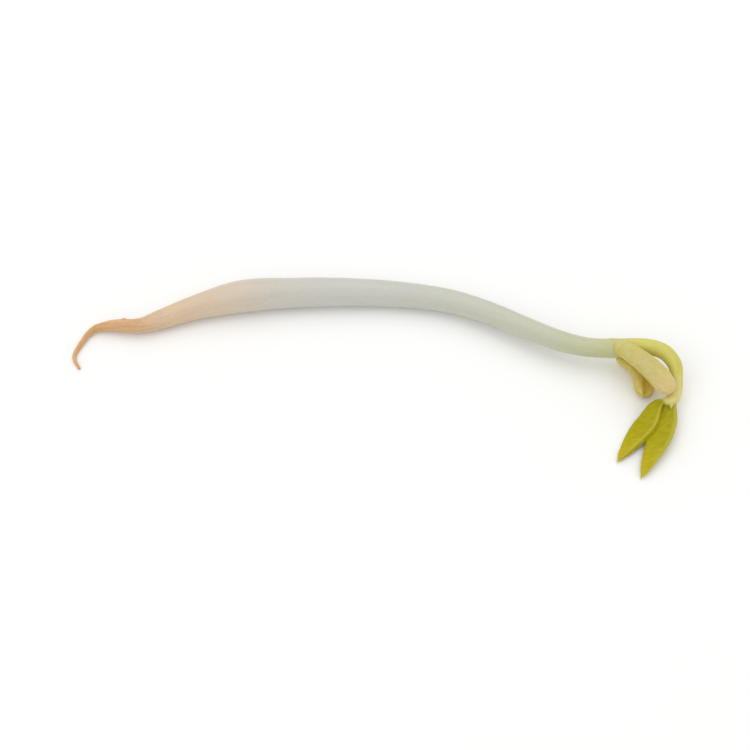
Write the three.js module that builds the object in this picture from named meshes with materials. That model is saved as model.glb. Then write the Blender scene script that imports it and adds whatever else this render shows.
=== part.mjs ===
// A mung bean sprout lying on a level surface: the root, the thick white stem below the seed leaves,
// the two seed leaves, the hooked green stem above them, and the first pair of folded leaves with the
// bud between their stalks.
//
// Millimetres, +Z up. +X runs from the root to the leafy head and +Y away from the leaf tips.
// The origin is on the resting surface, under the middle of the sprout's box.

import * as THREE from "three";

// ---- Driving dimensions ----

const JOINT_GAP = 0.1; // left between two organs where one grows out of the other
const RING_STEP = 0.8; // length of one ring of the root, the stem or the hook
const STEM_SIDES = 20;
const ORGAN_SIDES = 16;
const LEAF_SIDES = 24;

// The plant's axis from the root tip to the leaf stalks: place and radius of the flesh.
// The thick end of the stem lies on the surface, and its thin end is propped up by a seed leaf.
const ROOT_AXIS = [
  { at: [-30.94, -3.35, 0.14], radius: 0.14 },
  { at: [-31.56, -2.0, 0.21], radius: 0.21 },
  { at: [-30.96, -0.4, 0.3], radius: 0.26 },
  { at: [-29.78, 1.15, 0.5], radius: 0.35 },
  { at: [-27.9, 1.5, 0.76], radius: 0.58 },
  { at: [-24.8, 1.4, 1.0], radius: 0.77 },
];
const COLLAR = { at: [-22.7, 2.1, 1.1], radius: 1.02 }; // where the root turns into the stem
const STEM_AXIS = [
  { at: [-19.2, 3.4, 1.27], radius: 1.3 },
  { at: [-14.2, 4.6, 1.63], radius: 1.68 },
  { at: [-8.5, 5.1, 1.54], radius: 1.58 },
  { at: [-2.5, 5.2, 1.45], radius: 1.48 },
  { at: [3.0, 4.9, 1.38], radius: 1.34 },
  { at: [7.8, 4.0, 1.5], radius: 1.23 },
  { at: [11.4, 2.6, 1.65], radius: 1.19 },
  { at: [15.0, 0.7, 1.85], radius: 1.15 },
  { at: [18.7, -1.1, 2.05], radius: 1.08 },
  { at: [21.6, -2.0, 2.25], radius: 1.0 },
];
const NODE = { at: [24.2, -2.2, 2.4], radius: 0.98 }; // where the seed leaves are attached
const HOOK_AXIS = [
  { at: [26.3, -2.2, 2.9], radius: 0.8 },
  { at: [28.1, -2.5, 3.2], radius: 0.77 },
  { at: [29.4, -3.25, 3.25], radius: 0.76 },
  { at: [30.27, -4.5, 3.0], radius: 0.71 },
  { at: [30.45, -5.7, 2.5], radius: 0.65 },
  { at: [30.42, -6.8, 1.85], radius: 0.61 },
  { at: [30.1, -7.8, 1.3], radius: 0.62 },
];

// Seed leaves: plump on the side of `facing`, and grooved along the middle of the other side.
const SEED_LEAF = { breadth: 2.2, outside: 0.88, inside: 0.82, groove: 0.5 };
const SEED_LEAF_NEAR = {
  path: [
    [24.7, -2.8, 3.3],
    [26.1, -4.0, 3.62],
    [27.5, -5.25, 3.52],
    [28.8, -6.52, 3.25],
    [29.75, -7.75, 2.85],
  ],
  facing: [0, -0.45, 0.9],
};
const SEED_LEAF_FAR = {
  path: [
    [25.1, -2.5, 1.15],
    [26.4, -3.3, 1.0],
    [27.1, -4.5, 0.93],
    [27.3, -5.8, 0.92],
    [27.2, -7.1, 0.92],
  ],
  facing: [-0.45, 0, -0.9],
};

// First leaves: a blade folded along its midrib, on a short stalk. Each point is on the ridge of the
// fold, with how far the over and the under half of the blade reach from it. Each half leaves the
// ridge at the angle `from` and has curled to `to` at its margin, in degrees below the level on the
// left. The blade opens out of the stalk between two shares of its length.
const LEAF = { blade: 0.2, stalk: 0.28 }; // thickness, radius
const FOLD_SHARE = 0.12; // share of a half's reach taken by the solid fold
const LEAF_LEFT = {
  opens: [0.06, 0.2],
  over: { from: 10, to: 36 },
  under: { from: 138, to: 100 },
  ridge: [
    { at: [29.72, -8.18, 1.48], over: 0.1, under: 0.1 },
    { at: [29.25, -8.12, 1.6], over: 0.4, under: 0.15 },
    { at: [28.9, -8.32, 1.63], over: 0.86, under: 0.22 },
    { at: [28.64, -8.8, 1.61], over: 1.4, under: 0.26 },
    { at: [28.46, -9.45, 1.56], over: 1.82, under: 0.28 },
    { at: [28.24, -10.2, 1.47], over: 2.08, under: 0.3 },
    { at: [27.88, -10.87, 1.35], over: 2.24, under: 0.34 },
    { at: [27.4, -11.45, 1.2], over: 2.28, under: 0.36 },
    { at: [26.82, -12, 1.02], over: 2.14, under: 0.4 },
    { at: [26.14, -12.58, 0.83], over: 1.8, under: 0.37 },
    { at: [25.38, -13.24, 0.62], over: 1.26, under: 0.31 },
    { at: [24.66, -13.82, 0.42], over: 0.66, under: 0.2 },
    { at: [24.02, -14.36, 0.22], over: 0.01, under: 0.01 },
  ],
};
const LEAF_RIGHT = {
  opens: [0.03, 0.15],
  over: { from: 2, to: 22 },
  under: { from: 36, to: 48 },
  ridge: [
    { at: [30.12, -8.24, 1.1], over: 1.5, under: 0.4 },
    { at: [30.14, -8.6, 1.1], over: 1.85, under: 0.85 },
    { at: [30.16, -9.2, 1.16], over: 2.05, under: 1.3 },
    { at: [30.1, -10.09, 1.2], over: 2.18, under: 1.5 },
    { at: [29.82, -11.17, 1.2], over: 2.28, under: 1.54 },
    { at: [29.4, -12.21, 1.15], over: 2.3, under: 1.5 },
    { at: [28.8, -13.2, 1.03], over: 2.12, under: 1.35 },
    { at: [28.06, -14.13, 0.88], over: 1.66, under: 1.1 },
    { at: [27.34, -14.99, 0.68], over: 1.12, under: 0.75 },
    { at: [26.76, -15.68, 0.46], over: 0.52, under: 0.35 },
    { at: [26.26, -16.22, 0.24], over: 0.01, under: 0.01 },
  ],
};
const BUD = {
  breadth: 0.34,
  path: [
    [29.86, -8.5, 1.76],
    [29.76, -8.8, 1.74],
    [29.66, -9.12, 1.66],
  ],
};

const UP = new THREE.Vector3(0, 0, 1);

// ---- Shapes ----

const toVectors = (points) => points.map((point) => new THREE.Vector3(...point));

// A number that changes smoothly along a path, given at each of the path's points.
function along(values) {
  const curve = new THREE.SplineCurve(values.map((value, i) => new THREE.Vector2(i, value)));
  return (u) => curve.getPoint(u).y;
}

// A closed body, lathed about a straight axis and then bent along a path. `section` gives the place
// of the skin at an angle round the path, across it and towards `facing`, at a share u of its length.
function bentLathe({ path, section, shares, sides, facing = UP }) {
  const profile = [
    new THREE.Vector2(0, shares[0]),
    ...shares.map((u) => new THREE.Vector2(1, u)),
    new THREE.Vector2(0, shares.at(-1)),
  ];
  // Half a side round, so that a round section rests on a side and not on a corner.
  const geometry = new THREE.LatheGeometry(profile, sides, Math.PI / sides);
  const position = geometry.getAttribute("position");
  for (let i = 0; i < position.count; i += 1) {
    const { x: reach, y: u } = profile[i % profile.length];
    const tangent = path.getTangent(u);
    const side = new THREE.Vector3().crossVectors(tangent, facing).normalize();
    const top = new THREE.Vector3().crossVectors(side, tangent).normalize();
    const [across, above] = section(Math.atan2(position.getZ(i), position.getX(i)), u);
    const skin = path
      .getPoint(u)
      .addScaledVector(side, reach * across)
      .addScaledVector(top, reach * above);
    position.setXYZ(i, skin.x, skin.y, Math.max(skin.z, 0)); // soft flesh is flat where it rests
  }
  return geometry;
}

// Shares from one place on a path to another, about one RING_STEP apart.
function evenShares(path, from, to) {
  const steps = Math.max(3, Math.round(((to - from) * path.getLength()) / RING_STEP));
  return Array.from({ length: steps + 1 }, (_, i) => THREE.MathUtils.lerp(from, to, i / steps));
}

// Shares that crowd towards both ends of a path, where a rounded organ closes.
function roundedShares(rings) {
  return Array.from({ length: rings }, (_, i) => 0.5 - 0.5 * Math.cos((Math.PI * (i + 0.5)) / rings));
}

// ---- Sections ----

const roundSection = (radius) => (angle, u) => [
  radius(u) * Math.cos(angle),
  radius(u) * Math.sin(angle),
];

// Blunt at both ends, and fullest past the middle.
function seedLeafSection(angle, u) {
  const closing = Math.sqrt(1 - Math.abs(2 * u - 1) ** 5);
  const fullness = closing * THREE.MathUtils.lerp(0.8, 1.08, THREE.MathUtils.smoothstep(u, 0.1, 0.95));
  const height = Math.sin(angle);
  const outside = SEED_LEAF.outside * height;
  const inside = SEED_LEAF.inside * height + SEED_LEAF.groove * height ** 8;
  return [
    (SEED_LEAF.breadth / 2) * fullness * Math.cos(angle),
    fullness * (height > 0 ? outside : inside),
  ];
}

// The place and the way out of the blade at a distance from the ridge, on a half that curls evenly.
function curl({ from, to }, reach, distance) {
  const [start, end] = [from, to].map((degrees) => THREE.MathUtils.degToRad(-degrees));
  const bend = (end - start) / reach;
  const here = start + bend * distance;
  const place = [
    (Math.sin(here) - Math.sin(start)) / bend,
    (Math.cos(start) - Math.cos(here)) / bend,
  ];
  return { place, outwards: [Math.sin(here), -Math.cos(here)] };
}

// Once round the skin of a folded leaf: out over the under half from ridge to margin, back inside it,
// out again inside the over half, and home over it. Towards its base it turns into a round stalk.
function leafSection({ ridge, opens, over, under }) {
  const reachOver = along(ridge.map((point) => point.over));
  const reachUnder = along(ridge.map((point) => point.under));
  const bisector = Math.PI - THREE.MathUtils.degToRad((under.from + over.from) / 2);
  return (angle, u) => {
    const quarter = THREE.MathUtils.euclideanModulo(angle / (Math.PI / 2), 4);
    const leg = Math.floor(quarter);
    const toMargin = leg % 2 === 0 ? quarter - leg : leg + 1 - quarter;
    const isOuter = leg === 0 || leg === 3;
    const [half, reachOf] = leg < 2 ? [under, reachUnder] : [over, reachOver];
    const reach = Math.max(0.005, reachOf(u));
    const out = isOuter ? toMargin : THREE.MathUtils.lerp(FOLD_SHARE, 1, toMargin);
    const { place, outwards } = curl(half, reach, reach * out);
    const blade = isOuter ? LEAF.blade * Math.min(1, 5 * out, 1.6 * reach) : 0;
    const lift = leg < 2 ? blade : -blade;
    const turn = angle + bisector;
    const stalk = [LEAF.stalk * Math.cos(turn), LEAF.stalk * Math.sin(turn)];
    const unfolding = THREE.MathUtils.smoothstep(u, ...opens);
    return [0, 1].map((k) => THREE.MathUtils.lerp(stalk[k], place[k] + lift * outwards[k], unfolding));
  };
}

// ---- Materials ----

const fleshOf = (color, roughness) => new THREE.MeshStandardMaterial({ color, roughness, metalness: 0 });
const FLESH = {
  root: fleshOf("#d9ab77", 0.6),
  stem: fleshOf("#dfddd0", 0.35),
  shoot: fleshOf("#cdc86a", 0.4),
  seedLeaf: fleshOf("#cfc284", 0.5),
  leaf: fleshOf("#ada614", 0.5),
  bud: fleshOf("#c2bd4a", 0.5),
};

// ---- Organs ----

const sprout = new THREE.Group();

function grow(name, material, shape) {
  const organ = new THREE.Mesh(bentLathe(shape), material);
  organ.name = name;
  sprout.add(organ);
}

// Root, stem and hook lie along one path, and each takes its own stretch of it.
const axis = [...ROOT_AXIS, COLLAR, ...STEM_AXIS, NODE, ...HOOK_AXIS];
const axisPath = new THREE.CatmullRomCurve3(toVectors(axis.map((point) => point.at)));
const axisSection = roundSection(along(axis.map((point) => point.radius)));
const shareOf = (point) => axis.indexOf(point) / (axis.length - 1);
const gapShare = JOINT_GAP / axisPath.getLength();

function growAxis(name, material, sides, from, to) {
  const shares = evenShares(axisPath, from, to);
  grow(name, material, { path: axisPath, section: axisSection, shares, sides });
}

growAxis("root", FLESH.root, ORGAN_SIDES, 0, shareOf(COLLAR) - gapShare);
growAxis("hypocotyl", FLESH.stem, STEM_SIDES, shareOf(COLLAR), shareOf(NODE));
growAxis("epicotyl", FLESH.shoot, ORGAN_SIDES, shareOf(NODE) + gapShare, 1);

function growOrgan(name, material, { path, facing }, section, rings, sides = ORGAN_SIDES) {
  const curve = new THREE.CatmullRomCurve3(toVectors(path));
  const towards = facing && new THREE.Vector3(...facing);
  grow(name, material, { path: curve, section, shares: roundedShares(rings), sides, facing: towards });
}

growOrgan("cotyledon_near", FLESH.seedLeaf, SEED_LEAF_NEAR, seedLeafSection, 16);
growOrgan("cotyledon_far", FLESH.seedLeaf, SEED_LEAF_FAR, seedLeafSection, 16);
for (const [name, leaf] of [["leaf_left", LEAF_LEFT], ["leaf_right", LEAF_RIGHT]]) {
  const path = leaf.ridge.map((point) => point.at);
  growOrgan(name, FLESH.leaf, { path }, leafSection(leaf), 26, LEAF_SIDES);
}

// The bud is a plump spindle.
const budSection = roundSection((u) => (BUD.breadth / 2) * Math.sin(Math.PI * u) ** 0.6);
growOrgan("terminal_bud", FLESH.bud, BUD, budSection, 8);

// ---- Frame: the origin goes under the middle of the box, on the resting surface ----

const box = new THREE.Box3().setFromObject(sprout, true);
const middle = box.getCenter(new THREE.Vector3());
sprout.position.set(-middle.x, -middle.y, -box.min.z);

const part = new THREE.Group();
part.add(sprout);

export default part;
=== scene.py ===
"""The looks of a mung bean sprout, from its root to its first leaves and bud."""

import math

import bmesh
import bpy
from bpy.props import FloatProperty, FloatVectorProperty, PointerProperty
from mathutils import Matrix, Vector, noise


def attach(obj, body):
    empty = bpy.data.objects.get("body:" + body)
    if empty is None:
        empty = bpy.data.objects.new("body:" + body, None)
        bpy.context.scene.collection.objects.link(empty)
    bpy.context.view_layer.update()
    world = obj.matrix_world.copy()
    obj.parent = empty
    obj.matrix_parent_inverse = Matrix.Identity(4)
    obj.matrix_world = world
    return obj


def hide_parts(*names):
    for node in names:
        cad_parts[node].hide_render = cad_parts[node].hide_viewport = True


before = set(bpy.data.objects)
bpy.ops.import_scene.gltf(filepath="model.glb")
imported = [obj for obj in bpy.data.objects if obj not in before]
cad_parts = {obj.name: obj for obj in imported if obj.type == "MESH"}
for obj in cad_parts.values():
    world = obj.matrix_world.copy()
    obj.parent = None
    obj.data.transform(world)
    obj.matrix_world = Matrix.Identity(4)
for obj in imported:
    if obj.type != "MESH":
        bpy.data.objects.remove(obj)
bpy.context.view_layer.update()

bl_info = {
    "name": "Mung Bean Sprout",
    "version": (1, 0, 0),
    "blender": (4, 5, 0),
    "location": "3D View > Sidebar > Sprout",
    "description": "Grows a mung bean sprout over its solid model and sets a stage for it",
    "category": "Object",
}

# ---- The sprout's layout, in millimetres ----

MM = 0.001
UP = (0, 0, 1)
# The organs' points are in the solids' own coordinates. This moves them into the frame, whose
# origin is under the middle of the sprout's box.
FRAME_SHIFT = Vector((0.338, 4.75, 0))

# Place and radius along root, stem and hook, from the root's tip to the leaf stalks.
ROOT_AXIS = [
    ((-30.94, -3.35, 0.14), 0.14),
    ((-31.56, -2.0, 0.21), 0.21),
    ((-30.96, -0.4, 0.30), 0.26),
    ((-29.78, 1.15, 0.50), 0.35),
    ((-27.9, 1.5, 0.76), 0.58),
    ((-24.8, 1.4, 1.00), 0.77),
]
COLLAR = ((-22.7, 2.1, 1.10), 1.02)
STEM_AXIS = [
    ((-19.2, 3.4, 1.27), 1.30),
    ((-14.2, 4.6, 1.63), 1.68),
    ((-8.5, 5.1, 1.54), 1.58),
    ((-2.5, 5.2, 1.45), 1.48),
    ((3.0, 4.9, 1.38), 1.34),
    ((7.8, 4.0, 1.50), 1.23),
    ((11.4, 2.6, 1.65), 1.19),
    ((15.0, 0.7, 1.85), 1.15),
    ((18.7, -1.1, 2.05), 1.08),
    ((21.6, -2.0, 2.25), 1.00),
]
NODE = ((24.2, -2.2, 2.40), 0.98)
HOOK_AXIS = [
    ((26.3, -2.25, 2.90), 0.84),
    ((28.1, -2.6, 3.20), 0.82),
    ((29.4, -3.3, 3.25), 0.80),
    ((30.27, -4.55, 3.00), 0.74),
    ((30.42, -5.7, 2.50), 0.66),
    ((30.42, -6.8, 1.85), 0.61),
    ((30.1, -7.8, 1.30), 0.62),
]
AXIS = [*ROOT_AXIS, COLLAR, *STEM_AXIS, NODE, *HOOK_AXIS]

# Side roots that are about to break the skin: distance from the root's tip, turn, and height.
ROOT_BUD_RADIUS = 0.2
ROOT_BUDS = [
    (5.6, 1.9, 0.10),
    (7.3, 0.6, 0.13),
    (8.5, 2.6, 0.16),
    (9.6, 4.4, 0.14),
    (10.7, 1.3, 0.17),
    (11.6, 3.5, 0.12),
]

# The collar is the stretch below and above COLLAR where the root's skin turns into the stem's.
COLLAR_BELOW = 3
COLLAR_ABOVE = 2.5
# The skin swells a little at the node, and closes in a dome between the leaf stalks.
NODE_SWELL = 0.07
NODE_REACH = 0.75
DOME = 0.5

# Seed leaves: breadth, how far the outer and the inner side swell, and the inner side's groove.
SEED_LEAF_BREADTH = 2.16
SEED_LEAF_OUTSIDE = 0.86
SEED_LEAF_INSIDE = 0.82
SEED_LEAF_GROOVE = 0.55
# How full it is near its base and near its other end.
SEED_LEAF_BASE = 0.83
SEED_LEAF_TOP = 1.12
# Each lies along its path with its outer side facing a way, and has ribs of its own.
SEED_LEAVES = {
    "near": {
        "path": [
            (24.2, -2.5, 2.95),
            (25.0, -2.8, 3.38),
            (26.1, -3.76, 3.62),
            (27.5, -5.05, 3.55),
            (28.8, -6.48, 3.25),
            (29.75, -7.8, 2.85),
        ],
        "facing": (0, -0.45, 0.9),
        "ribs": 3.0,
    },
    "far": {
        "path": [
            (24.7, -2.2, 1.5),
            (25.4, -2.7, 1.12),
            (26.4, -3.3, 1.0),
            (27.1, -4.5, 0.93),
            (27.3, -5.8, 0.92),
            (27.2, -7.1, 0.92),
        ],
        "facing": (-0.45, 0, -0.9),
        "ribs": 11.0,
    },
}

# The stalks' radius where they leave the shoot, and where their blades start.
STALK_FOOT = 0.56
STALK_TOP = 0.42
# The fold of a leaf is filled out to this share of its reach, and rounded this far from its ridge.
FOLD_SHARE = 0.12
RIDGE_ROUNDING = 0.22
# Side veins leave the midrib at a slant, bend towards the tip and stand out a little.
VEIN_SLANT = 1.1
VEIN_BEND = 0.3
VEIN_RELIEF = 0.012
# How far the margins wave up and down.
MARGIN_WAVE = 0.04
# First leaves: each point is on the ridge of the fold along the midrib, from inside the shoot to
# the tip, with the reach of the over and of the under half there. Each half turns down by its
# degrees at the ridge and at the margin. The blade opens out of its stalk between the two points
# of the ridge that "opens" counts.
LEAVES = {
    "left": {
        "opens": (1.6, 3.2),
        "over": (10, 36),
        "under": (138, 100),
        "ridge": [
            ((30.3, -7.3, 1.5), 0, 0),
            ((29.7, -7.86, 1.55), 0.1, 0.1),
            ((29.25, -8.04, 1.6), 0.4, 0.15),
            ((28.9, -8.32, 1.63), 0.86, 0.22),
            ((28.64, -8.8, 1.61), 1.4, 0.3),
            ((28.46, -9.45, 1.56), 1.82, 0.36),
            ((28.24, -10.2, 1.47), 2.08, 0.42),
            ((27.88, -10.87, 1.35), 2.24, 0.46),
            ((27.4, -11.45, 1.2), 2.28, 0.44),
            ((26.82, -12.0, 1.02), 2.14, 0.4),
            ((26.14, -12.58, 0.83), 1.8, 0.37),
            ((25.38, -13.24, 0.62), 1.26, 0.31),
            ((24.66, -13.82, 0.42), 0.66, 0.2),
            ((24.02, -14.36, 0.22), 0, 0),
        ],
    },
    "right": {
        "opens": (0.85, 1.9),
        "over": (2, 22),
        "under": (36, 48),
        "ridge": [
            ((30.2, -7.3, 1.4), 0, 0),
            ((30.12, -7.95, 1.22), 1.5, 0.4),
            ((30.14, -8.5, 1.16), 2.05, 0.85),
            ((30.16, -9.2, 1.18), 2.24, 1.3),
            ((30.1, -10.09, 1.22), 2.36, 1.5),
            ((29.82, -11.17, 1.22), 2.42, 1.54),
            ((29.4, -12.21, 1.15), 2.38, 1.5),
            ((28.8, -13.2, 1.03), 2.12, 1.35),
            ((28.06, -14.13, 0.88), 1.66, 1.1),
            ((27.34, -14.99, 0.68), 1.12, 0.75),
            ((26.76, -15.68, 0.46), 0.52, 0.35),
            ((26.26, -16.22, 0.24), 0, 0),
        ],
    },
}

# The growing bud lies between the leaf stalks.
BUD_PATH = [(30.0, -7.95, 1.5), (29.86, -8.3, 1.6), (29.78, -8.6, 1.6), (29.7, -8.86, 1.54)]
BUD_BREADTH = 0.3
BUD_WRAP = 0.035

# Share of a rounded organ that is left off at each end, where it closes to almost nothing.
POLE = 0.0006

# ---- The stage, in metres ----

TARGET = Vector((0, 0, 0.0013))
CAMERA_LENS = 100
CAMERA_TILT = math.radians(60)
CAMERA_DISTANCE = 0.214
FLOOR_HALF = 3
FLOOR_DROP = 0.00001
ROOM_STRENGTH = 0.77
# Place, size and watts.
LIGHTS = {
    "key_light": ((0.06, 0.22, 0.5), 0.55, 0.95),
    "fill_light": ((-0.30, -0.2, 0.45), 0.5, 0.5),
}


def linear(code):
    """An sRGB hex colour as the linear one that the nodes work in."""
    parts = [int(code[i : i + 2], 16) / 255 for i in (1, 3, 5)]
    return tuple(c / 12.92 if c <= 0.04045 else ((c + 0.055) / 1.055) ** 2.4 for c in parts)


def colour_setting(name, description, code):
    return FloatVectorProperty(
        name=name, description=description, subtype="COLOR", min=0, max=1, default=linear(code)
    )


def depth_setting(name, description, millimetres):
    return FloatProperty(
        name=name,
        description=description,
        unit="LENGTH",
        precision=6,
        min=0,
        default=millimetres * MM,
    )


# ---- Settings ----


class SproutColours(bpy.types.PropertyGroup):
    """The colours of the sprout's flesh"""

    root_tip: colour_setting("Root tip", "Thin, dried end of the root", "#d6ab78")
    root: colour_setting("Root", "Skin of the root", "#dab083")
    collar: colour_setting("Collar", "Where the root turns into the stem", "#d8bc9c")
    stem_foot: colour_setting("Stem foot", "Thick stem near the collar", "#d4c2ac")
    stem_middle: colour_setting("Stem middle", "White of the thick stem", "#c6c6bf")
    stem_neck: colour_setting("Stem neck", "Stem that has seen light, below the node", "#bfc19f")
    shoot: colour_setting("Shoot", "Green stem above the node", "#d0c868")
    seed_leaf: colour_setting("Seed leaf", "Swollen skin of the seed leaves", "#c4ba72")
    seed_leaf_shaded: colour_setting("Shaded seed leaf", "Seed leaf under the other", "#c9b650")
    # Painted shade: a darker, deeper yellow laid into the seed leaves' creases and groove.
    seed_leaf_crease_shade: colour_setting("Seed leaf crease", "Between the ribs", "#d0ae1c")
    seed_leaf_end: colour_setting("Seed leaf end", "Paler outer end", "#d9c48a")
    stalk: colour_setting("Leaf stalk", "Short stalks of the leaves", "#ded286")
    leaf: colour_setting("Leaf", "Blade near its stalk", "#a69e04")
    leaf_tip: colour_setting("Leaf tip", "Blade near its tip", "#bead18")
    vein: colour_setting("Vein", "Veins and midribs of the leaves", "#bfb654")
    bud: colour_setting("Bud", "Growing bud between the leaf stalks", "#c3b752")
    floor: colour_setting("Floor", "Plain floor under the sprout", "#f8f8f7")


class SproutSizes(bpy.types.PropertyGroup):
    """The sizes of the sprout's finest shapes"""

    stem_strand: depth_setting("Stem strand", "Height of the strands under the skin", 0.012)
    root_wrinkle: depth_setting("Root wrinkle", "Depth of the root's wrinkles", 0.05)
    rib: depth_setting("Seed leaf rib", "Height of the ribs of a seed leaf", 0.055)
    blade: depth_setting("Leaf blade", "Thickness of a leaf", 0.2)
    midrib: depth_setting("Midrib", "How far a midrib stands out of its leaf", 0.045)
    vein_spacing: depth_setting("Vein spacing", "Between two side veins of a leaf", 1.3)


# ---- Smooth curves ----


def ease(value, start, end):
    """0 below start and 1 above end, with a smooth change between them."""
    share = min(1.0, max(0.0, (value - start) / (end - start)))
    return share * share * (3 - 2 * share)


def mix(a, b, share):
    return a + (b - a) * share


class Path:
    """A smooth line through an organ's points, from its base or tip to its other end."""

    STEPS = 400
    NUDGE = 0.0005

    def __init__(self, points, facing=UP):
        points = [Vector(point) + FRAME_SHIFT for point in points]
        self.points = [2 * points[0] - points[1], *points, 2 * points[-1] - points[-2]]
        self.facing = Vector(facing)
        self.frames = {}
        marks = [self.at(i / self.STEPS) for i in range(self.STEPS + 1)]
        self.lengths = [0.0]
        for here, there in zip(marks, marks[1:]):
            self.lengths.append(self.lengths[-1] + (there - here).length)

    def at(self, share):
        """The place at a share of the path. The curve is weighed by the square roots of its points'
        distances, so it never loops."""
        count = len(self.points) - 3
        index = min(int(share * count), count - 1)
        t = share * count - index
        a, b, c, d = self.points[index : index + 4]
        ab, bc, cd = (math.sqrt((q - p).length) for p, q in ((a, b), (b, c), (c, d)))
        leaving = ((b - a) / ab - (c - a) / (ab + bc) + (c - b) / bc) * bc
        arriving = ((c - b) / bc - (d - b) / (bc + cd) + (d - c) / cd) * bc
        square = (c - b) * 3 - leaving * 2 - arriving
        cube = (b - c) * 2 + leaving + arriving
        return b + leaving * t + square * t * t + cube * t**3

    def along(self, share):
        """Millimetres from the start of the path."""
        place = share * self.STEPS
        index = min(int(place), self.STEPS - 1)
        return mix(self.lengths[index], self.lengths[index + 1], place - index)

    def frame(self, share):
        """The place at a share of the path, and the directions across it and towards its face."""
        if share not in self.frames:
            ahead = self.at(min(1, share + self.NUDGE))
            heading = ahead - self.at(max(0, share - self.NUDGE))
            side = heading.cross(self.facing).normalized()
            self.frames[share] = (self.at(share), side, side.cross(heading).normalized())
        return self.frames[share]


def eased(values, share):
    """The value at a share of the way through a list, eased from one to the next."""
    index = min(int(share * (len(values) - 1)), len(values) - 2)
    t = share * (len(values) - 1) - index
    a, b, c, d = (values[min(max(index + k, 0), len(values) - 1)] for k in (-1, 0, 1, 2))
    leaving, arriving = (c - a) / 2, (d - b) / 2
    return b + leaving * t + (3 * (c - b) - 2 * leaving - arriving) * t * t + (
        2 * (b - c) + leaving + arriving
    ) * t**3


def share_of(point):
    return AXIS.index(point) / (len(AXIS) - 1)


AXIS_PATH = Path([place for place, _ in AXIS])
AXIS_RADII = [radius for _, radius in AXIS]
COLLAR_AT = AXIS_PATH.along(share_of(COLLAR))
NODE_AT = AXIS_PATH.along(share_of(NODE))
AXIS_END = AXIS_PATH.along(1)


# ---- Skins ----


def straight_skin(sides, rings):
    """A closed tube of radius 1 that stands from height 0 to 1, in rings of faces."""
    bm = bmesh.new()
    bmesh.ops.create_cone(
        bm,
        cap_ends=True,
        cap_tris=True,
        segments=sides,
        radius1=1,
        radius2=1,
        depth=1,
        matrix=Matrix.Translation((0, 0, 0.5)),
    )
    upright = [e for e in bm.edges if abs(e.verts[0].co.z - e.verts[1].co.z) > 0.5]
    bmesh.ops.subdivide_edges(bm, edges=upright, cuts=rings - 1)
    # The caps' rims are sharp, so that a skin keeps its shading up to its neighbour's.
    for edge in bm.edges:
        ends = {round(vert.co.z, 4) for vert in edge.verts}
        if ends in ({0}, {1}) and all(vert.co.xy.length > 0.5 for vert in edge.verts):
            edge.smooth = False
    return bm


def crowded_ends(height):
    """Draws rings towards both ends, where a rounded organ closes to almost nothing."""
    return mix(POLE, 1 - POLE, 0.5 - 0.5 * math.cos(math.pi * height))


def grow(name, node, path, section, material, sides, rings, spread):
    """Bends a straight skin along a path, over a node of the solids. `section` takes an angle, a
    share of the path and the millimetres along it. It gives the skin's place across and above the
    path, its place in the grain of the flesh, and its relief. `spread` turns a height on the
    straight skin into a share of the path."""
    bm = straight_skin(sides, rings)
    grain = bm.verts.layers.float_vector.new("grain")
    relief = bm.verts.layers.float.new("relief")
    for vert in bm.verts:
        # A cap's middle point stays on the path.
        reach = 1 if math.hypot(vert.co.x, vert.co.y) > 0.5 else 0
        angle = math.atan2(vert.co.y, vert.co.x)
        share = spread(round(min(1.0, max(0.0, vert.co.z)) * rings) / rings)
        across, above, place, height = section(angle, share, path.along(share))
        centre, side, top = path.frame(share)
        vert[grain] = place
        vert[relief] = height
        vert.co = (centre + (side * across + top * above) * reach) * MM
        vert.co.z = max(vert.co.z, 0)
    bmesh.ops.recalc_face_normals(bm, faces=bm.faces)
    for face in bm.faces:
        face.smooth = True
    mesh = bpy.data.meshes.new(name)
    bm.to_mesh(mesh)
    bm.free()
    mesh.materials.append(material)
    piece = bpy.data.objects.new(name, mesh)
    bpy.context.scene.collection.objects.link(piece)
    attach(piece, "root")
    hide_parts(node)
    return piece


def ripple(x, y, z, seed=0.0):
    """Smooth, repeatable unevenness between about -1 and 1."""
    return noise.noise(Vector((x + seed, y - seed, z + 0.7 * seed)))


def axis_section(angle, share, along):
    """Round flesh with strands along it, a swollen node, and a wrinkled root with small buds."""
    sizes = bpy.context.scene.sprout_sizes
    radius = eased(AXIS_RADII, share)
    x, y = math.cos(angle), math.sin(angle)
    rooty = 1 - ease(along, COLLAR_AT - COLLAR_BELOW, COLLAR_AT + COLLAR_ABOVE)
    strands = ripple(along * 0.1, 2.3 * radius * x, 2.3 * radius * y, 3.1)
    wrinkles = ripple(along * 0.55, 2.6 * radius * x, 2.6 * radius * y, 9.4)
    pinches = ripple(along * 2.2, 0.9 * x, 0.9 * y, 5.2)
    slow = ripple(along * 0.23, 0.5 * x, 0.5 * y, 1.7)
    lift = sizes.stem_strand / MM * strands + radius * 0.022 * slow
    lift += rooty * min(1, radius / 0.8) * sizes.root_wrinkle / MM * (wrinkles + 0.45 * pinches)
    lift += NODE_SWELL * math.exp(-(((along - NODE_AT) / NODE_REACH) ** 2))
    height = 0.5 + 0.5 * (wrinkles if rooty > 0.3 else strands)
    for place, turn, size in ROOT_BUDS:
        sideways = math.remainder(angle - turn, math.tau) * radius
        away = ((along - place) ** 2 + sideways**2) / ROOT_BUD_RADIUS**2
        lift += size * math.exp(-away)
    closing = max(0.0, along - (AXIS_END - DOME)) / DOME
    reach = (radius + lift) * math.sqrt(max(0.0004, 1 - closing * closing))
    return reach * x, reach * y, (along, radius * x, radius * y), height


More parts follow.
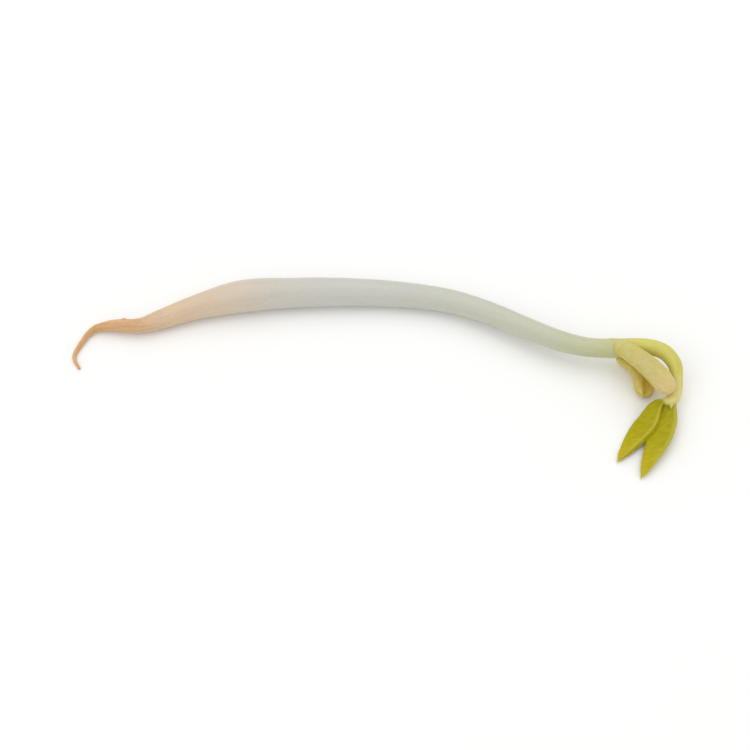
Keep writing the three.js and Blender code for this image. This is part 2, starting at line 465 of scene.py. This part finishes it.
def seed_leaf_section(ribs):
    """Plump on one side, grooved on the other, blunt at both ends, and ribbed along its length."""

    def section(angle, share, along):
        rib = bpy.context.scene.sprout_sizes.rib / MM
        # It closes bluntly at both ends, and is slimmer towards its base.
        closing = math.sqrt(1 - abs(2 * share - 1) ** 5)
        fullness = closing * mix(SEED_LEAF_BASE, SEED_LEAF_TOP, ease(share, 0.1, 0.95))
        x, y = math.cos(angle), math.sin(angle)
        swell = SEED_LEAF_OUTSIDE * y
        if y < 0:
            swell = SEED_LEAF_INSIDE * y + SEED_LEAF_GROOVE * y**8
        # Ribs wander a little as they run, and break up in cross wrinkles towards the end.
        folds = ripple(along * 0.22, 2.6 * x, 2.6 * y, ribs)
        fine = ripple(along * 0.5, 5.5 * x, 5.5 * y, ribs + 4)
        cross = ripple(along * 1.5, 2.2 * x, 2.2 * y, ribs + 7) * ease(share, 0.2, 0.9)
        height = 0.7 * folds + 0.55 * fine + 0.6 * cross
        lift = rib * height * min(1, 1.6 * closing)
        across = (SEED_LEAF_BREADTH / 2 * x) * fullness + lift * x
        above = swell * fullness + lift * y
        groove = max(0, -y) ** 6
        return across, above, (along, 1.2 * x, swell), 0.5 + 0.5 * height - 0.55 * groove

    return section


def curl(half, reach, distance):
    """The place of an evenly curling half at a distance from its ridge, and the way out of it."""
    start, end = (math.radians(-turn) for turn in half)
    bend = (end - start) / reach
    here = start + bend * distance
    place = (math.sin(here) - math.sin(start)) / bend, (math.cos(start) - math.cos(here)) / bend
    return Vector(place), Vector((math.sin(here), -math.cos(here)))


def leaf_section(leaf):
    """Once round a folded blade: out over the under half from ridge to margin, back inside it, out
    inside the over half, and home over it. Towards its base it turns into a round stalk."""
    spans = len(leaf["ridge"]) - 1
    _, over, under = zip(*leaf["ridge"])
    reaches = {"over": over, "under": under}
    # The ridge points away from both halves.
    turn = math.pi - math.radians((leaf["under"][0] + leaf["over"][0]) / 2)
    ridge = Vector((math.cos(turn), math.sin(turn)))

    def section(angle, share, along):
        sizes = bpy.context.scene.sprout_sizes
        quarter = (angle / (math.pi / 2)) % 4
        leg = int(quarter)
        to_margin = quarter - leg if leg % 2 == 0 else leg + 1 - quarter
        # Columns crowd towards the ridge and the margin.
        to_margin -= 0.13 * math.sin(math.tau * to_margin)
        outer = leg in (0, 3)
        half = "under" if leg < 2 else "over"
        out = to_margin if outer else mix(FOLD_SHARE, 1, to_margin)
        reach = max(1e-3, eased(reaches[half], share))
        beside = reach * out
        place, outwards = curl(leaf[half], reach, beside)
        if leg > 1:
            outwards = -outwards
        slant = along - VEIN_SLANT * beside - VEIN_BEND * beside * beside
        bulge = math.cos(math.tau * slant * MM / sizes.vein_spacing)
        firm = min(1, 1.6 * reach)
        if outer:
            # The fold is rounded along its ridge, where the midrib fills it.
            outwards = ridge.lerp(outwards, ease(beside, 0, RIDGE_ROUNDING)).normalized()
            # The blade thins to its margin, and its veins fade at the midrib and the margin.
            thick = sizes.blade / MM * math.sqrt(max(0.02, 1 - (max(0, out - 0.9) / 0.1) ** 2))
            fading = ease(out, 0.05, 0.25) * ease(1 - out, 0, 0.2)
            thick += VEIN_RELIEF * (bulge + max(0, bulge) ** 6) * fading
            thick += sizes.midrib / MM * (1 - ease(beside, 0.04, 0.2))
            place += outwards * thick * firm
        # The margins wave gently, both halves together.
        wave = math.sin(along * 1.9 + leaf["over"][0])
        place.y += MARGIN_WAVE * out**2 * wave * min(1, reach)
        unfolding = ease(share * spans, *leaf["opens"])
        stout = mix(STALK_FOOT, STALK_TOP, ease(share * spans, 0.5, 2.5))
        stalk = Vector((math.cos(angle + turn), math.sin(angle + turn))) * stout
        place = stalk.lerp(place, unfolding)
        return place.x, place.y, (along, slant, out * unfolding), unfolding

    return section


def bud_section(angle, share, along):
    """A spindle of two wrapped scales, stoutest below its middle."""
    x, y = math.cos(angle), math.sin(angle)
    plump = math.sin(math.pi * min(1, share**0.8)) ** 0.7
    wrap = BUD_WRAP * math.sin(2 * angle + 3 * share)
    reach = (BUD_BREADTH / 2 + wrap) * plump
    return reach * x, reach * y, (along, 0.2 * x, 0.2 * y), 0.5 + 10 * wrap


# ---- Materials ----

# Patterns, in repeats to a millimetre: cells 0.12 mm across, strands of vessels 0.35 mm apart and
# drawn out eleven times along the organ, and slow changes of tone over 1.4 mm.
CELLS = 8.5
STRANDS = 2.9
STRAND_STRETCH = 0.09
TONES = 0.7
# The blisters of a seed leaf are 0.17 mm across, and its pale blotches 0.9 mm.
BLISTERS = 6.0
BLOTCHES = 1.1
# A leaf is mottled every 0.45 mm, and its side veins show in patches of 1.8 mm.
MOTTLES = 2.2
VEIN_PATCHES = 0.55
# Half the breadth of a side vein, and the distance over which the colour bands waver.
VEIN_HALF = 0.18
WAVER = 3.0
# The index of refraction of wet cell walls.
FLESH_IOR = 1.42


def add_node(tree, kind, sockets=None, stops=(), **settings):
    """Adds a node with its settings, its colour stops, and values or links for its sockets. The
    first two stops are the ends of the ramp."""
    node = tree.nodes.new(kind)
    for name, value in settings.items():
        setattr(node, name, value)
    for index, (place, colour) in enumerate(stops):
        ramp = node.color_ramp.elements
        element = ramp[index] if index < 2 else ramp.new(place)
        element.position = place
        element.color = (*colour, 1)
    for name, value in (sockets or {}).items():
        if isinstance(value, bpy.types.NodeSocket):
            tree.links.new(value, node.inputs[name])
        else:
            node.inputs[name].default_value = value
    return node


def mix_colour(a, b, share):
    return tuple(mix(p, q, share) for p, q in zip(a, b))


def new_material(name):
    material = bpy.data.materials.new(name)
    material.use_nodes = True
    material.node_tree.nodes.clear()
    return material, material.node_tree


def flesh(name, start, end, stops, finish, depth):
    """Water-filled plant tissue under a thin wax skin. Its colour runs along the organ from start
    to end, strands of vessels run with it, and cells speckle it. Their furrows are painted darker
    and more saturated, partly the strands' own tone and partly painted shade. `depth` is how deep
    red, green and blue light reach into it."""
    material, tree = new_material(name)
    grain = add_node(tree, "ShaderNodeAttribute", attribute_name="grain").outputs["Vector"]
    along = add_node(tree, "ShaderNodeSeparateXYZ", {"Vector": grain}).outputs["X"]
    drift = add_node(
        tree, "ShaderNodeTexNoise", {"Vector": grain, "Scale": TONES, "Detail": 2.0}
    ).outputs["Fac"]
    # The colour bands waver by half of WAVER either way, so no band has a straight edge.
    wavered = add_node(
        tree, "ShaderNodeMath", {0: drift, 1: WAVER, 2: along}, operation="MULTIPLY_ADD"
    ).outputs["Value"]
    share = add_node(
        tree,
        "ShaderNodeMapRange",
        {"Value": wavered, "From Min": start + WAVER / 2, "From Max": end + WAVER / 2},
    ).outputs["Result"]
    band = add_node(tree, "ShaderNodeValToRGB", {"Fac": share}, stops).outputs["Color"]
    finish_band = add_node(tree, "ShaderNodeValToRGB", {"Fac": share}, finish).outputs["Color"]
    finishes = add_node(tree, "ShaderNodeSeparateColor", {"Color": finish_band})
    furrow_shade_strength, roughness, height = (finishes.outputs[name] for name in ("Red", "Green", "Blue"))
    lengthwise = add_node(
        tree, "ShaderNodeMapping", {"Vector": grain, "Scale": (STRAND_STRETCH, 1, 1)}
    ).outputs["Vector"]
    strands = add_node(
        tree, "ShaderNodeTexNoise", {"Vector": lengthwise, "Scale": STRANDS, "Detail": 3.0}
    ).outputs["Fac"]
    cells = add_node(
        tree, "ShaderNodeTexNoise", {"Vector": grain, "Scale": CELLS, "Detail": 1.0}
    ).outputs["Fac"]
    # The furrows between the strands, where their relief is low, are painted darker and more
    # saturated: partly the strands' own tone, partly painted shade.
    furrow = add_node(
        tree, "ShaderNodeMapRange", {"Value": strands, "From Min": 0.6, "From Max": 0.38}
    ).outputs["Result"]
    shade = add_node(
        tree, "ShaderNodeMath", {0: furrow, 1: furrow_shade_strength}, operation="MULTIPLY"
    ).outputs["Value"]
    speckle = add_node(
        tree,
        "ShaderNodeMapRange",
        {"Value": cells, "From Min": 0.3, "From Max": 0.7, "To Min": 0.965, "To Max": 1.045},
    ).outputs["Result"]
    value = add_node(
        tree, "ShaderNodeMath", {0: speckle, 1: shade}, operation="SUBTRACT"
    ).outputs["Value"]
    saturation = add_node(
        tree, "ShaderNodeMath", {0: shade, 1: 0.8, 2: 1.0}, operation="MULTIPLY_ADD"
    ).outputs["Value"]
    colour = add_node(
        tree,
        "ShaderNodeHueSaturation",
        {"Color": band, "Value": value, "Saturation": saturation},
    ).outputs["Color"]
    relief = add_node(
        tree, "ShaderNodeMath", {0: cells, 1: 0.4, 2: strands}, operation="MULTIPLY_ADD"
    ).outputs["Value"]
    distance = add_node(
        tree, "ShaderNodeMath", {0: height, 1: 0.1 * MM}, operation="MULTIPLY"
    ).outputs["Value"]
    bump = add_node(
        tree, "ShaderNodeBump", {"Height": relief, "Distance": distance, "Strength": 1.0}
    ).outputs["Normal"]
    gloss = add_node(
        tree, "ShaderNodeMath", {0: cells, 1: 0.12, 2: roughness}, operation="MULTIPLY_ADD"
    ).outputs["Value"]
    surface = add_node(
        tree,
        "ShaderNodeBsdfPrincipled",
        {
            "Base Color": colour,
            "Roughness": gloss,
            "IOR": FLESH_IOR,
            "Normal": bump,
            "Subsurface Weight": 0.3,
            "Subsurface Radius": depth,
            "Subsurface Scale": 0.4 * MM,
        },
    ).outputs["BSDF"]
    add_node(tree, "ShaderNodeOutputMaterial", {"Surface": surface})
    return material


# Finishes: how much the strands' furrows are darkened, partly their own tone and partly painted
# shade;
# the roughness; and the height of the grain in 0.1 mm.
ROOT_FINISH = (0.16, 0.46, 0.3)
COLLAR_FINISH = (0.08, 0.36, 0.2)
STEM_FINISH = (0.03, 0.3, 0.12)
SHOOT_FINISH = (0.07, 0.28, 0.16)


def root_skin():
    """Root bark of one or two dried cell layers: a dull, warm brown, darker in its furrows, partly
    its own tone and partly painted shade.
    """
    c = bpy.context.scene.sprout_colours
    stops = [
        (0.0, c.root_tip),
        (1.0, c.collar),
        (0.16, mix_colour(c.root_tip, c.root, 0.7)),
        (0.5, c.root),
        (0.8, mix_colour(c.root, c.collar, 0.5)),
    ]
    finish = [(0.0, ROOT_FINISH), (1.0, COLLAR_FINISH), (0.7, ROOT_FINISH)]
    return flesh("Sprout root skin, dried", 0, COLLAR_AT, stops, finish, (1, 0.6, 0.3))


def stem_flesh():
    """Crisp white stem tissue grown in the dark: translucent, with a satin wax skin."""
    c = bpy.context.scene.sprout_colours
    stops = [
        (0.0, c.collar),
        (1.0, mix_colour(c.stem_neck, c.shoot, 0.3)),
        (0.13, c.stem_foot),
        (0.26, mix_colour(c.stem_foot, c.stem_middle, 0.75)),
        (0.38, c.stem_middle),
        (0.6, mix_colour(c.stem_middle, c.stem_neck, 0.15)),
        (0.85, mix_colour(c.stem_middle, c.stem_neck, 0.55)),
        (0.94, c.stem_neck),
    ]
    finish = [(0.0, COLLAR_FINISH), (1.0, SHOOT_FINISH), (0.12, STEM_FINISH), (0.9, STEM_FINISH)]
    return flesh("Sprout stem flesh, waxy", COLLAR_AT, NODE_AT, stops, finish, (1, 0.85, 0.6))


def shoot_flesh():
    """Young green stem tissue: the same wax skin over a yellow-green flesh."""
    c = bpy.context.scene.sprout_colours
    stops = [
        (0.0, mix_colour(c.stem_neck, c.shoot, 0.3)),
        (1.0, c.stalk),
        (0.1, mix_colour(c.stem_neck, c.shoot, 0.7)),
        (0.25, c.shoot),
        (0.72, c.shoot),
        (0.88, c.stalk),
    ]
    finish = [(0.0, SHOOT_FINISH), (1.0, SHOOT_FINISH)]
    return flesh("Sprout shoot flesh, waxy", NODE_AT, AXIS_END, stops, finish, (0.9, 1, 0.35))


def seed_leaf_skin(name, flesh_colour, end_colour):
    """Spent seed leaf: soft and a little shrivelled, with pale swollen ribs, and painted shade
    in a darker, deeper yellow along its creases and groove.
    """
    c = bpy.context.scene.sprout_colours
    material, tree = new_material("Sprout seed leaf, " + name)
    grain = add_node(tree, "ShaderNodeAttribute", attribute_name="grain").outputs["Vector"]
    relief = add_node(tree, "ShaderNodeAttribute", attribute_name="relief").outputs["Fac"]
    along = add_node(tree, "ShaderNodeSeparateXYZ", {"Vector": grain}).outputs["X"]
    cells = add_node(
        tree, "ShaderNodeTexNoise", {"Vector": grain, "Scale": BLISTERS, "Detail": 2.0}
    ).outputs["Fac"]
    share = add_node(
        tree, "ShaderNodeMapRange", {"Value": along, "From Min": 0.3, "From Max": 7.6}
    ).outputs["Result"]
    stops = [
        (0.0, mix_colour(flesh_colour, c.shoot, 0.5)),
        (1.0, end_colour),
        (0.3, flesh_colour),
        (0.72, mix_colour(flesh_colour, end_colour, 0.3)),
    ]
    band = add_node(tree, "ShaderNodeValToRGB", {"Fac": share}, stops).outputs["Color"]
    blotches = add_node(
        tree, "ShaderNodeTexNoise", {"Vector": grain, "Scale": BLOTCHES, "Detail": 3.0}
    ).outputs["Fac"]
    blotched = add_node(
        tree,
        "ShaderNodeMapRange",
        {"Value": blotches, "From Min": 0.42, "From Max": 0.68, "To Max": 0.5},
    ).outputs["Result"]
    band = add_node(
        tree,
        "ShaderNodeMix",
        {0: blotched, 6: band, 7: (*c.seed_leaf_end, 1)},
        data_type="RGBA",
    ).outputs[2]
    # Painted shade: where the relief is low, between the ribs and in the groove, the colour turns
    # towards the darker, deeper yellow of the crease shade.
    crease_shade = add_node(
        tree,
        "ShaderNodeMapRange",
        {"Value": relief, "From Min": 0.5, "From Max": -0.05, "To Max": 0.85},
    ).outputs["Result"]
    colour = add_node(
        tree,
        "ShaderNodeMix",
        {0: crease_shade, 6: band, 7: (*c.seed_leaf_crease_shade, 1)},
        data_type="RGBA",
    ).outputs[2]
    speckle = add_node(
        tree,
        "ShaderNodeMapRange",
        {"Value": cells, "From Min": 0.3, "From Max": 0.7, "To Min": 0.92, "To Max": 1.06},
    ).outputs["Result"]
    toned = add_node(
        tree, "ShaderNodeHueSaturation", {"Color": colour, "Value": speckle}
    ).outputs["Color"]
    bump = add_node(
        tree, "ShaderNodeBump", {"Height": cells, "Distance": 0.03 * MM, "Strength": 1.0}
    ).outputs["Normal"]
    surface = add_node(
        tree,
        "ShaderNodeBsdfPrincipled",
        {
            "Base Color": toned,
            "Roughness": 0.45,
            "IOR": FLESH_IOR,
            "Specular IOR Level": 0.3,
            "Normal": bump,
            "Subsurface Weight": 0.35,
            "Subsurface Radius": (1, 0.85, 0.3),
            "Subsurface Scale": 0.5 * MM,
        },
    ).outputs["BSDF"]
    add_node(tree, "ShaderNodeOutputMaterial", {"Surface": surface})
    return material


def leaf_blade():
    """Young leaf, thin and barely green, with paler veins, margins and stalk."""
    c = bpy.context.scene.sprout_colours
    spacing = bpy.context.scene.sprout_sizes.vein_spacing / MM
    material, tree = new_material("Sprout leaf blade, young")
    grain = add_node(tree, "ShaderNodeAttribute", attribute_name="grain").outputs["Vector"]
    blade = add_node(tree, "ShaderNodeAttribute", attribute_name="relief").outputs["Fac"]
    place = add_node(tree, "ShaderNodeSeparateXYZ", {"Vector": grain})
    along, slant, out = (place.outputs[axis] for axis in "XYZ")
    mottle = add_node(
        tree, "ShaderNodeTexNoise", {"Vector": grain, "Scale": MOTTLES, "Detail": 4.0}
    ).outputs["Fac"]
    share = add_node(
        tree, "ShaderNodeMapRange", {"Value": along, "From Min": 0.0, "From Max": 10.0}
    ).outputs["Result"]
    stops = [
        (0.0, c.leaf),
        (1.0, c.leaf_tip),
        (0.55, c.leaf),
    ]
    band = add_node(tree, "ShaderNodeValToRGB", {"Fac": share}, stops).outputs["Color"]
    tone = add_node(
        tree,
        "ShaderNodeMapRange",
        {"Value": mottle, "From Min": 0.3, "From Max": 0.7, "To Min": 0.88, "To Max": 1.1},
    ).outputs["Result"]
    toned = add_node(
        tree, "ShaderNodeHueSaturation", {"Color": band, "Value": tone}
    ).outputs["Color"]
    # Side veins wander a little, and fade in and out.
    wandering = add_node(
        tree, "ShaderNodeMath", {0: mottle, 1: 0.25, 2: slant}, operation="MULTIPLY_ADD"
    ).outputs["Value"]
    off_vein = add_node(
        tree, "ShaderNodeMath", {0: wandering, 1: spacing / 2}, operation="PINGPONG"
    ).outputs["Value"]
    side_vein = add_node(
        tree,
        "ShaderNodeMapRange",
        {"Value": off_vein, "From Min": 0.0, "From Max": VEIN_HALF, "To Min": 0.42, "To Max": 0.0},
        interpolation_type="SMOOTHSTEP",
    ).outputs["Result"]
    patches = add_node(
        tree,
        "ShaderNodeTexNoise",
        {"Vector": grain, "Scale": VEIN_PATCHES, "Detail": 1.0},
    ).outputs["Fac"]
    showing = add_node(
        tree, "ShaderNodeMapRange", {"Value": patches, "From Min": 0.38, "From Max": 0.58}
    ).outputs["Result"]
    side_vein = add_node(
        tree, "ShaderNodeMath", {0: side_vein, 1: showing}, operation="MULTIPLY"
    ).outputs["Value"]
    margin = add_node(
        tree,
        "ShaderNodeMapRange",
        {"Value": out, "From Min": 0.9, "From Max": 1.0, "To Max": 0.55},
        interpolation_type="SMOOTHSTEP",
    ).outputs["Result"]
    midrib = add_node(
        tree,
        "ShaderNodeMapRange",
        {"Value": out, "From Min": 0.12, "From Max": 0.02, "To Max": 0.6},
        interpolation_type="SMOOTHSTEP",
    ).outputs["Result"]
    edge = add_node(
        tree, "ShaderNodeMath", {0: margin, 1: midrib}, operation="MAXIMUM"
    ).outputs["Value"]
    pale = add_node(
        tree, "ShaderNodeMath", {0: side_vein, 1: edge}, operation="MAXIMUM"
    ).outputs["Value"]
    on_blade = add_node(
        tree, "ShaderNodeMath", {0: pale, 1: blade}, operation="MULTIPLY"
    ).outputs["Value"]
    veined = add_node(
        tree,
        "ShaderNodeMix",
        {0: on_blade, 6: toned, 7: (*c.vein, 1)},
        data_type="RGBA",
    ).outputs[2]
    opened = add_node(
        tree,
        "ShaderNodeMapRange",
        {"Value": blade, "From Min": 0.3, "From Max": 0.98},
        interpolation_type="SMOOTHSTEP",
    ).outputs["Result"]
    colour = add_node(
        tree,
        "ShaderNodeMix",
        {0: opened, 6: (*c.stalk, 1), 7: veined},
        data_type="RGBA",
    ).outputs[2]
    bump = add_node(
        tree, "ShaderNodeBump", {"Height": mottle, "Distance": 0.04 * MM, "Strength": 0.8}
    ).outputs["Normal"]
    surface = add_node(
        tree,
        "ShaderNodeBsdfPrincipled",
        {
            "Base Color": colour,
            "Roughness": 0.5,
            "IOR": FLESH_IOR,
            "Specular IOR Level": 0.2,
            "Normal": bump,
            "Subsurface Weight": 0.2,
            "Subsurface Radius": (0.8, 1, 0.1),
            "Subsurface Scale": 0.3 * MM,
        },
    ).outputs["BSDF"]
    add_node(tree, "ShaderNodeOutputMaterial", {"Surface": surface})
    return material


def bud_skin():
    """Bud scales: fine-haired young tissue, so duller than the stem."""
    c = bpy.context.scene.sprout_colours
    finish = [(0.0, ROOT_FINISH), (1.0, COLLAR_FINISH)]
    stops = [(0.0, c.stalk), (1.0, c.bud)]
    return flesh("Sprout bud scales, downy", 0, 1.5, stops, finish, (0.9, 1, 0.3))


# ---- Operators ----


class SPROUT_OT_root(bpy.types.Operator):
    """Grow the thin brown root"""

    bl_idname = "sprout.root"
    bl_label = "Root"

    def execute(self, context):
        end = share_of(COLLAR)
        grow(
            "root_skin", "root", AXIS_PATH, axis_section, root_skin(),
            sides=80, rings=180, spread=lambda height: end * height,
        )
        return {"FINISHED"}


class SPROUT_OT_stem(bpy.types.Operator):
    """Grow the thick white stem below the seed leaves"""

    bl_idname = "sprout.stem"
    bl_label = "Stem"

    def execute(self, context):
        start, end = share_of(COLLAR), share_of(NODE)
        grow(
            "stem", "hypocotyl", AXIS_PATH, axis_section, stem_flesh(),
            sides=80, rings=340, spread=lambda height: mix(start, end, height),
        )
        return {"FINISHED"}


class SPROUT_OT_shoot(bpy.types.Operator):
    """Grow the hooked green stem above the seed leaves"""

    bl_idname = "sprout.shoot"
    bl_label = "Shoot"

    def execute(self, context):
        start = share_of(NODE)
        grow(
            "shoot", "epicotyl", AXIS_PATH, axis_section, shoot_flesh(),
            sides=80, rings=170, spread=lambda height: mix(start, 1, height),
        )
        return {"FINISHED"}


class SPROUT_OT_seed_leaves(bpy.types.Operator):
    """Grow the two seed leaves"""

    bl_idname = "sprout.seed_leaves"
    bl_label = "Seed leaves"

    def execute(self, context):
        c = context.scene.sprout_colours
        skins = {
            "near": seed_leaf_skin("shrivelled", c.seed_leaf, c.seed_leaf_end),
            "far": seed_leaf_skin("shaded side", c.seed_leaf_shaded, c.seed_leaf_shaded),
        }
        for name, leaf in SEED_LEAVES.items():
            path = Path(leaf["path"], leaf["facing"])
            grow(
                "seed_leaf_" + name, "cotyledon_" + name, path, seed_leaf_section(leaf["ribs"]),
                skins[name], sides=112, rings=130, spread=crowded_ends,
            )
        return {"FINISHED"}


class SPROUT_OT_leaves(bpy.types.Operator):
    """Grow the first two leaves, each folded along its midrib"""

    bl_idname = "sprout.leaves"
    bl_label = "First leaves"

    def execute(self, context):
        blade = leaf_blade()
        for name, leaf in LEAVES.items():
            path = Path([point[0] for point in leaf["ridge"]])
            grow(
                "first_leaf_" + name, "leaf_" + name, path, leaf_section(leaf), blade,
                sides=128, rings=240, spread=crowded_ends,
            )
        return {"FINISHED"}


class SPROUT_OT_bud(bpy.types.Operator):
    """Grow the bud between the leaf stalks"""

    bl_idname = "sprout.bud"
    bl_label = "Bud"

    def execute(self, context):
        grow(
            "growing_bud", "terminal_bud", Path(BUD_PATH), bud_section, bud_skin(),
            sides=32, rings=40, spread=crowded_ends,
        )
        return {"FINISHED"}


class SPROUT_OT_stage(bpy.types.Operator):
    """Set the plain floor, the soft lights and the camera"""

    bl_idname = "sprout.stage"
    bl_label = "Stage"

    def execute(self, context):
        scene = context.scene
        bm = bmesh.new()
        bmesh.ops.create_grid(bm, x_segments=1, y_segments=1, size=FLOOR_HALF)
        bmesh.ops.translate(bm, vec=(0, 0, -FLOOR_DROP), verts=bm.verts)
        mesh = bpy.data.meshes.new("floor")
        bm.to_mesh(mesh)
        bm.free()
        material, tree = new_material("Matt white board")
        surface = add_node(
            tree,
            "ShaderNodeBsdfPrincipled",
            {"Base Color": (*scene.sprout_colours.floor, 1), "Roughness": 0.9},
        ).outputs["BSDF"]
        add_node(tree, "ShaderNodeOutputMaterial", {"Surface": surface})
        mesh.materials.append(material)
        floor = bpy.data.objects.new("floor", mesh)
        scene.collection.objects.link(floor)

        for name, (place, size, watts) in LIGHTS.items():
            light = bpy.data.lights.new(name, "AREA")
            light.shape = "SQUARE"
            light.size = size
            light.energy = watts
            lamp = bpy.data.objects.new(name, light)
            lamp.matrix_world = self.looking_at(Vector(place))
            scene.collection.objects.link(lamp)

        world = bpy.data.worlds.new("soft_room")
        world.use_nodes = True
        room = world.node_tree.nodes["Background"]
        room.inputs["Color"].default_value = (1, 1, 1, 1)
        room.inputs["Strength"].default_value = ROOM_STRENGTH
        scene.world = world
        scene.view_settings.view_transform = "Standard"

        camera = bpy.data.cameras.new("camera")
        camera.lens = CAMERA_LENS
        camera.clip_start = 0.01
        back = Vector((0, -math.cos(CAMERA_TILT), math.sin(CAMERA_TILT)))
        eye = bpy.data.objects.new("camera", camera)
        eye.matrix_world = self.looking_at(TARGET + back * CAMERA_DISTANCE)
        scene.collection.objects.link(eye)
        scene.camera = eye
        return {"FINISHED"}

    @staticmethod
    def looking_at(place):
        """Stands at a place and looks at the sprout's middle."""
        turn = (TARGET - place).to_track_quat("-Z", "Y")
        return Matrix.Translation(place) @ turn.to_matrix().to_4x4()


class SPROUT_PT_panel(bpy.types.Panel):
    """Lists the sprout's pieces and its stage"""

    bl_idname = "SPROUT_PT_panel"
    bl_label = "Mung Bean Sprout"
    bl_space_type = "VIEW_3D"
    bl_region_type = "UI"
    bl_category = "Sprout"

    def draw(self, context):
        for operator in PIECES:
            self.layout.operator(operator.bl_idname)
        for settings in (context.scene.sprout_sizes, context.scene.sprout_colours):
            for name in settings.__annotations__:
                self.layout.prop(settings, name)


PIECES = (
    SPROUT_OT_stage,
    SPROUT_OT_root,
    SPROUT_OT_stem,
    SPROUT_OT_shoot,
    SPROUT_OT_seed_leaves,
    SPROUT_OT_leaves,
    SPROUT_OT_bud,
)
CLASSES = (SproutColours, SproutSizes, *PIECES, SPROUT_PT_panel)


def register():
    for cls in CLASSES:
        bpy.utils.register_class(cls)
    bpy.types.Scene.sprout_colours = PointerProperty(type=SproutColours)
    bpy.types.Scene.sprout_sizes = PointerProperty(type=SproutSizes)


def unregister():
    del bpy.types.Scene.sprout_sizes
    del bpy.types.Scene.sprout_colours
    for cls in reversed(CLASSES):
        bpy.utils.unregister_class(cls)


def main():
    register()
    for operator in PIECES:
        group, name = operator.bl_idname.split(".")
        getattr(getattr(bpy.ops, group), name)()


if __name__ == "__main__":
    main()
